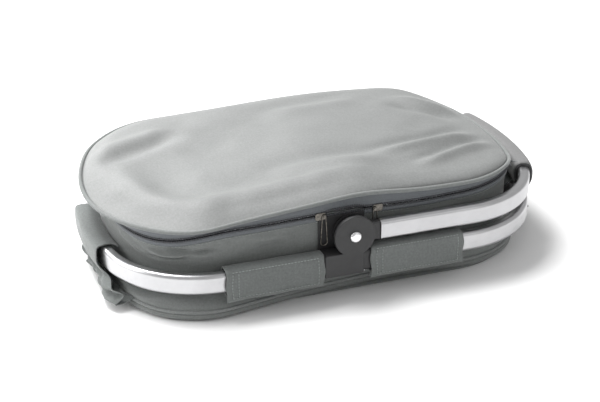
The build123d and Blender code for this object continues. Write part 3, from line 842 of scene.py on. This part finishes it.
# ---------------------------------------------------------------- base
place(strip("base_side", all_round(420),
            [(BASE_OUT - 6 * MM, 1.0 * MM), (BASE_OUT - 3.2 * MM, 1.2 * MM), (BASE_OUT - 1.0 * MM, 2.4 * MM),
             (BASE_OUT - 0.2 * MM, 4.4 * MM), (BASE_OUT - 0.5 * MM, 6.6 * MM),
             (BASE_OUT - 1.8 * MM, base_high.z + 0.6 * MM)]),
      "body", "base", "grey_fabric", "base_cover", "base_board")
place(cord_round("base_piping_cord", BASE_OUT - BASE_CORD_R, BASE_CORD_Z, BASE_CORD_R, 12),
      "piping", "base", "grey_fabric", "base_piping")
place(plate("base_bottom", 1.3 * MM, 4.5 * MM - BASE_OUT), "body", "base", "grey_fabric")


# ---------------------------------------------------------------- zip
COIL_OUT, COIL_DEPTH, COIL_PITCH = 1.3 * MM, 1.15 * MM, 2.4 * MM


def coil_row(name, z, half_height, phase, opening):
    """One side of the nylon coil, as a cord pinched once for each turn, open between the two sliders."""
    per_turn, sides = 4, 8
    s = np.linspace(-ZIP_END, ZIP_END, int(2 * ZIP_END / COIL_PITCH) * per_turn + 1)
    pts, normals = bag_at(s)
    turn = np.cos(2 * math.pi * (np.arange(len(s)) / per_turn + phase))
    section = round_section(1.0, sides)
    grow = 0.7 + 0.3 * turn
    gap = opening * smoothstep(27 * MM, 12 * MM, np.abs(s + 3 * MM))
    out = COIL_OUT + COIL_DEPTH * section[None, :, :1] * grow[:, None, None]
    co = np.zeros((len(s), sides, 3))
    co[..., :2] = pts[:, None] + normals[:, None] * out
    co[..., 2] = z + gap[:, None] + half_height * section[None, :, 1] * grow[:, None]
    obj = grid(name, co, closed_v=True, uv=(s, girth_of(section)))
    bend(obj)
    return obj


COIL_HALF, COIL_GAP = 1.4 * MM, 0.1 * MM
place(coil_row("zip_turns_lower", ZIP_Z - COIL_GAP - COIL_HALF, COIL_HALF, 0.0, -0.5 * MM),
      "coil", "bag", "zip_coil", "zip_coil_lower")
place(coil_row("zip_turns_upper", ZIP_Z + COIL_GAP + COIL_HALF, COIL_HALF, 0.5, 1.4 * MM),
      "coil", "lid", "zip_coil", "zip_coil_upper")
place(strip("zip_lower_band", zip_round(400),
            [(0.3 * MM, tape_low.z - 0.3 * MM), (1.2 * MM, tape_low.z), (1.4 * MM, tape_low.z + 2.2 * MM),
             (1.0 * MM, tape_high.z - 1.2 * MM), (0.4 * MM, tape_high.z - 0.1 * MM)],
            closed=False, thickness=0.7 * MM),
      "tape", "bag", "zip_tape", "zip_tape_lower")

# ---------------------------------------------------------------- cloth hinge along the back
hinge_rows, hinge_columns = 60, 14
hinge_x = np.linspace(hinge_high.x + 1.5 * MM, hinge_low.x - 1.5 * MM, hinge_rows)
hinge_z = np.linspace(hinge_low.z, PIPING_Z - 1 * MM, hinge_columns)
pucker = np.sin(hinge_x * 90)[:, None] * np.sin(math.pi * np.linspace(0, 1, hinge_columns))[None]
hinge_pts = np.zeros((hinge_rows, hinge_columns, 3))
hinge_pts[..., 0] = hinge_x[:, None]
hinge_pts[..., 1] = HALF_WIDTH + 1.1 * MM + 0.5 * MM * pucker
hinge_pts[..., 2] = hinge_z[None]
hinge = grid("hinge_cloth", hinge_pts, uv=(hinge_x, hinge_z))
bend(hinge)
solidify(hinge, 0.9 * MM)
place(hinge, "body", ("bag", "lid", (0, HALF_WIDTH, wall_high.z - 1 * MM), (0, HALF_WIDTH, PIPING_Z - 4 * MM)),
      "grey_fabric", "lid_hinge_strip")

# ---------------------------------------------------------------- black cloth behind the hinges
for end in ("front", "back"):
    low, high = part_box("hinge_patch_" + end)
    side = -1 if end == "front" else 1
    count = 34
    xs = np.linspace(low.x, high.x, count)[::-side]
    zs = np.linspace(low.z - 4 * MM, wall_high.z - 0.2 * MM, count)
    pts = np.zeros((count, count, 3))
    pts[..., 0] = xs[:, None]
    pts[..., 1] = side * (HALF_WIDTH + 1.9 * MM)
    pts[..., 2] = zs[None]
    patch = grid("hinge_cloth_" + end, pts, uv=(xs, zs))
    co = verts_of(patch)
    slack = smoothstep(wall_high.z, wall_high.z - 12 * MM, co[:, 2])
    co[:, 1] += side * 0.4 * MM * ripple(co, 0.03, 41) * slack
    set_verts(patch, co)
    solidify(patch, 1.4 * MM)
    place(patch, "patch", "bag", "black_fabric", "hinge_patch_" + end)


# ---------------------------------------------------------------- straps and loops round the ring
def sleeve(name, line, outs, sections):
    """Cloth swept along a line; sections[i] lists its outer face as (outward, z, slip along the line).
    Gives the piece, its length, its girth and its points."""
    along = girth_of(line)
    run = np.gradient(line, axis=0)
    run /= np.linalg.norm(run, axis=1, keepdims=True)
    co = np.zeros((len(line), sections.shape[1], 3))
    co[..., :2] = line[:, None] + outs[:, None] * sections[..., :1] + run[:, None] * sections[..., 2:3]
    co[..., 2] = sections[..., 1]
    girth = girth_of(sections[len(line) // 2, :, :2])
    obj = grid(name, co, uv=(along, girth))
    return obj, along[-1], girth[-1], co


STITCH_POINTS = 60


def strap_sleeve(node):
    """A strap sewn to the wall, over the tube and down its front, with a doubled edge hanging below."""
    low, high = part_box(node)
    side = -1 if low.y < 0 else 1
    rows = 50
    hem = 5 * MM  # the hemmed outer end reaches this far past the solid
    xs = np.linspace(low.x - hem * (low.x < 0), high.x + hem * (low.x > 0), rows)[::-side]
    line = np.column_stack([xs, np.full(rows, side * HALF_WIDTH)])
    outs = np.tile([0.0, side], (rows, 1))
    front = max(abs(low.y), abs(high.y)) - HALF_WIDTH - 1.0 * MM
    top, bottom = high.z - 1.2 * MM, low.z
    section = rounded_line(
        [(-0.5 * MM, 27.5 * MM), (5.5 * MM, 25.8 * MM), (front - 3.6 * MM, 26.2 * MM),
         (front - 2.6 * MM, bottom + 1.2 * MM), (front - 0.2 * MM, bottom), (front + 0.2 * MM, 28 * MM),
         (front - 0.6 * MM, top - 0.2 * MM), (5.5 * MM, top + 0.2 * MM), (-0.5 * MM, 47 * MM)],
        [3 * MM, 2 * MM, 0.8 * MM, 1.0 * MM, 6 * MM, 5 * MM, 5 * MM])
    seed = 20 + 3 * side + (5 if low.x > 0 else 0)
    sections = np.zeros((rows, len(section), 3))
    sections[..., :2] = section
    hang = smoothstep(30 * MM, bottom, section[:, 1]) * smoothstep(8 * MM, 14 * MM, section[:, 0])
    across = np.linspace(-1, 1, rows)
    sway = ripple(np.column_stack([xs, xs * 0, xs * 0]), 0.035, seed)
    sections[..., 0] += MM * hang * (0.6 * sway + 0.9 * across**4)[:, None]
    sections[..., 1] += MM * hang * (0.3 * np.roll(sway, 9))[:, None]
    frayed = np.sign(across)[:, None] * np.abs(across[:, None]) ** 6
    sections[..., 2] += MM * 1.6 * frayed * (np.sin(section[:, 1] * 260 + seed) * 0.5)
    obj, length, girth, co = sleeve(node + "_sleeve", line, outs, sections)
    points = verts_of(obj)
    points[:, 1] += 0.35 * MM * ripple(points, 0.02, seed + 1) * side
    points[:, 2] += 0.35 * MM * ripple(points, 0.026, seed + 2)
    set_verts(obj, points)
    solidify(obj, 1.1 * MM)
    place(obj, "strap", "bag", "grey_fabric", node)
    face = np.flatnonzero((section[:, 0] > front - 1.6 * MM) & (section[:, 1] > bottom + 2.5 * MM)
                          & (section[:, 1] < top - 1.6 * MM))
    outward = np.array([0.0, side, 0.0])
    lift = outward * 0.3 * MM
    rows_of = {
        "hem_low": co[2:-2, face[np.argmin(np.abs(section[face, 1] - bottom - 4 * MM))]],
        "hem_high": co[2:-2, face[-1]],
        "end_a": co[3, face],
        "end_b": co[6, face],
        "end_c": co[-4, face],
    }
    for part, line_points in rows_of.items():
        to, at = np.linspace(0, 1, STITCH_POINTS), np.linspace(0, 1, len(line_points))
        dense = np.stack([np.interp(to, at, line_points[:, i]) for i in range(3)], 1)
        stitch = stitches(f"{node}_{part}", dense + lift, np.tile(outward, (STITCH_POINTS, 1)))
        place(stitch, "thread", "bag", "grey_fabric")


for node in ("strap_left_front", "strap_right_front", "strap_left_back", "strap_right_back"):
    strap_sleeve(node)


def end_loop(node, crumple, slip):
    """The wide loop round an end of the ring, whose slack falls in folds below the tube: crumple is their
    height in millimetres, slip how far they have slid along the tube."""
    low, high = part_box(node)
    side = -1 if low.x < 0 else 1
    middle = RING_ALONG[-1] * (0.75 if side < 0 else 0.25)
    rows = 56
    s = np.sort(middle + np.linspace(low.y, high.y, rows) * side)
    line, outs = on_loop(RING_LOOP, RING_ALONG, s)
    foot = base_cord_high.z
    section = rounded_line(
        [(-11 * MM, foot), (-3 * MM, foot - 5 * MM), (9 * MM, foot - 4 * MM), (-1 * MM, foot + 4 * MM),
         (10 * MM, foot + 8 * MM), (1 * MM, foot + 13.5 * MM), (6.2 * MM, foot + 19 * MM), (7 * MM, 42 * MM),
         (5.4 * MM, 53.2 * MM), (-9 * MM, 54.4 * MM), (-19.5 * MM, 47 * MM)],
        [3 * MM, 2 * MM, 1.5 * MM, 2 * MM, 2 * MM, 2.5 * MM, 8 * MM, 3.5 * MM, 6 * MM])
    low_part = smoothstep(36 * MM, 14 * MM, section[:, 1])
    sections = np.zeros((rows, len(section), 3))
    sections[..., :2] = section
    sections[..., 2] = slip * low_part
    sections[..., 0] -= 9 * MM * low_part * smoothstep(-42 * MM, 0, line[:, 1])[:, None]
    count = len(section)
    points = np.column_stack([np.repeat(s, count), np.tile(section[:, 1], rows), np.zeros(rows * count)])
    rumple = ripple(points, 0.024, 51 + side).reshape(rows, -1)
    rumple2 = ripple(points, 0.012, 52 + side, (1, 1.6, 1)).reshape(rows, -1)
    sections[..., 0] += MM * (low_part * crumple + 0.25) * (1.0 * rumple + 0.5 * rumple2)
    sections[..., 1] += MM * low_part * crumple * 0.5 * np.roll(rumple, 7, axis=0)
    sections[..., 1] = np.maximum(sections[..., 1], 3 * MM)
    obj, length, girth, _ = sleeve(node + "_cloth", line, outs, sections)
    subdivide(obj)
    solidify(obj, 1.0 * MM)
    place(obj, "strap", "bag", "grey_fabric", node)


end_loop("end_strap_left", 3.2, 46 * MM)
end_loop("end_strap_right", 1.2, -6 * MM)


# ---------------------------------------------------------------- grip
def grip_shell(name, outer, inner, key, slot, node, swelling):
    """A C-shaped layer round the handle's end, open on its inner lower side."""
    middle = RING_ALONG[-1] / 4
    rows, turns = 64, 40
    s = np.linspace(middle + grip_low.y, middle + grip_high.y, rows)
    line, outs = on_loop(RING_LOOP, RING_ALONG, s)
    centre_z = (handle_low.z + handle_high.z) / 2
    half_out, half_up = TUBE_DEPTH / 2, (handle_high.z - handle_low.z) / 2
    angles = np.radians(np.linspace(-120, 196, turns))
    squareness = 0.72

    def ring(offset):
        c, d = np.cos(angles), np.sin(angles)
        return np.stack([(half_out + offset) * np.sign(c) * np.abs(c) ** squareness,
                         (half_up + offset) * np.sign(d) * np.abs(d) ** squareness], 1)

    section = np.vstack([ring(outer), ring(inner)[::-1]])
    rib = np.concatenate([np.cos(angles * 5) * 0.35 * MM * swelling, np.zeros(turns)])
    tuck = 0.9 * MM * swelling
    ends = np.clip(np.minimum(s - s[0], s[-1] - s) / (5 * MM), 0, 1)
    shrink = (np.sqrt(1 - (1 - ends) ** 2) * tuck - tuck)[:, None]
    mask = np.concatenate([np.ones(turns), np.zeros(turns)])
    out = section[None, :, 0] - half_out + shrink * mask * np.sign(section[:, 0])
    co = np.zeros((rows, 2 * turns, 3))
    co[..., :2] = line[:, None] + outs[:, None] * (out + rib * np.sign(section[:, 0]))[..., None]
    co[..., 2] = centre_z + section[None, :, 1] + shrink * mask * np.sign(section[:, 1])
    obj = grid(name, co, closed_v=True, uv=(s, girth_of(section)))
    bm = bmesh.new()
    bm.from_mesh(obj.data)
    bmesh.ops.holes_fill(bm, edges=[e for e in bm.edges if e.is_boundary], sides=0)
    bm.to_mesh(obj.data)
    bm.free()
    if swelling:
        swell(obj, 4 * MM, 3, 0.02, 1.2 * MM, lambda p: np.abs(p[:, 1]) > grip_high.y - 6 * MM)
    return place(obj, key, "handle", slot, node)


GRIP_OUT = grip_high.x - handle_high.x
grip_cloth = grip_shell("grip_sleeve", GRIP_OUT, GRIP_OUT - 1.2 * MM, "grip", "black_fabric", "grip_cover", 1)
grip_pad = grip_shell("grip_padding", GRIP_OUT - 1.3 * MM, 0.2 * MM, "foam", "foam", "grip_foam", 0)

# ---------------------------------------------------------------- stage
FLOOR = 6  # half its size
floor = new_object("floor", [(-FLOOR, -FLOOR, 0), (FLOOR, -FLOOR, 0), (FLOOR, FLOOR, 0), (-FLOOR, FLOOR, 0)],
                   [(0, 1, 2, 3)])
floor_mat, _, _, floor_bsdf = material("pale_floor")
floor_bsdf.inputs["Base Color"].default_value = (0.9, 0.9, 0.9, 1)
floor_bsdf.inputs["Roughness"].default_value = 0.7
floor.data.materials.append(floor_mat)

world = bpy.data.worlds.new("studio")
bpy.context.scene.world = world
world.use_nodes = True
background = world.node_tree.nodes["Background"]
background.inputs["Color"].default_value = (1, 1, 1, 1)
background.inputs["Strength"].default_value = 0.55


def softbox(name, place_at, target, size, energy):
    light = bpy.data.lights.new(name, "AREA")
    light.shape = "RECTANGLE"
    light.size, light.size_y = size
    light.energy = energy
    obj = bpy.data.objects.new(name, light)
    obj.location = place_at
    obj.rotation_euler = (Vector(target) - Vector(place_at)).to_track_quat("-Z", "Y").to_euler()
    bpy.context.scene.collection.objects.link(obj)


softbox("key", (-0.4, 0.55, 1.75), (0, 0, 0.05), (1.0, 0.7), 38)
softbox("back", (-0.7, 1.7, 1.05), (0, 0, 0.08), (1.6, 0.8), 30)
softbox("side", (-1.7, 0.3, 0.8), (0, 0, 0.05), (0.8, 0.8), 13)
softbox("fill", (0.6, -1.6, 0.9), (0, 0, 0.05), (1.2, 0.8), 1.7)

# ---------------------------------------------------------------- camera
AZIMUTH, ELEVATION, DISTANCE = math.radians(-19.8), math.radians(25.95), 1.6
LENS = 86.5
TARGET_RIGHT, TARGET_UP = -5.4 * MM, 37.6 * MM
right = Vector((math.cos(AZIMUTH), math.sin(AZIMUTH), 0))
toward = Vector((math.sin(AZIMUTH) * math.cos(ELEVATION), -math.cos(AZIMUTH) * math.cos(ELEVATION),
                 math.sin(ELEVATION)))
up = toward.cross(right)
camera_data = bpy.data.cameras.new("camera")
camera_data.lens = LENS
camera_data.sensor_width = 36
camera = bpy.data.objects.new("camera", camera_data)
camera.location = right * TARGET_RIGHT + up * TARGET_UP + toward * DISTANCE
camera.rotation_euler = toward.to_track_quat("Z", "Y").to_euler()
bpy.context.scene.collection.objects.link(camera)
bpy.context.scene.camera = camera
bpy.context.scene.view_settings.view_transform = "Standard"
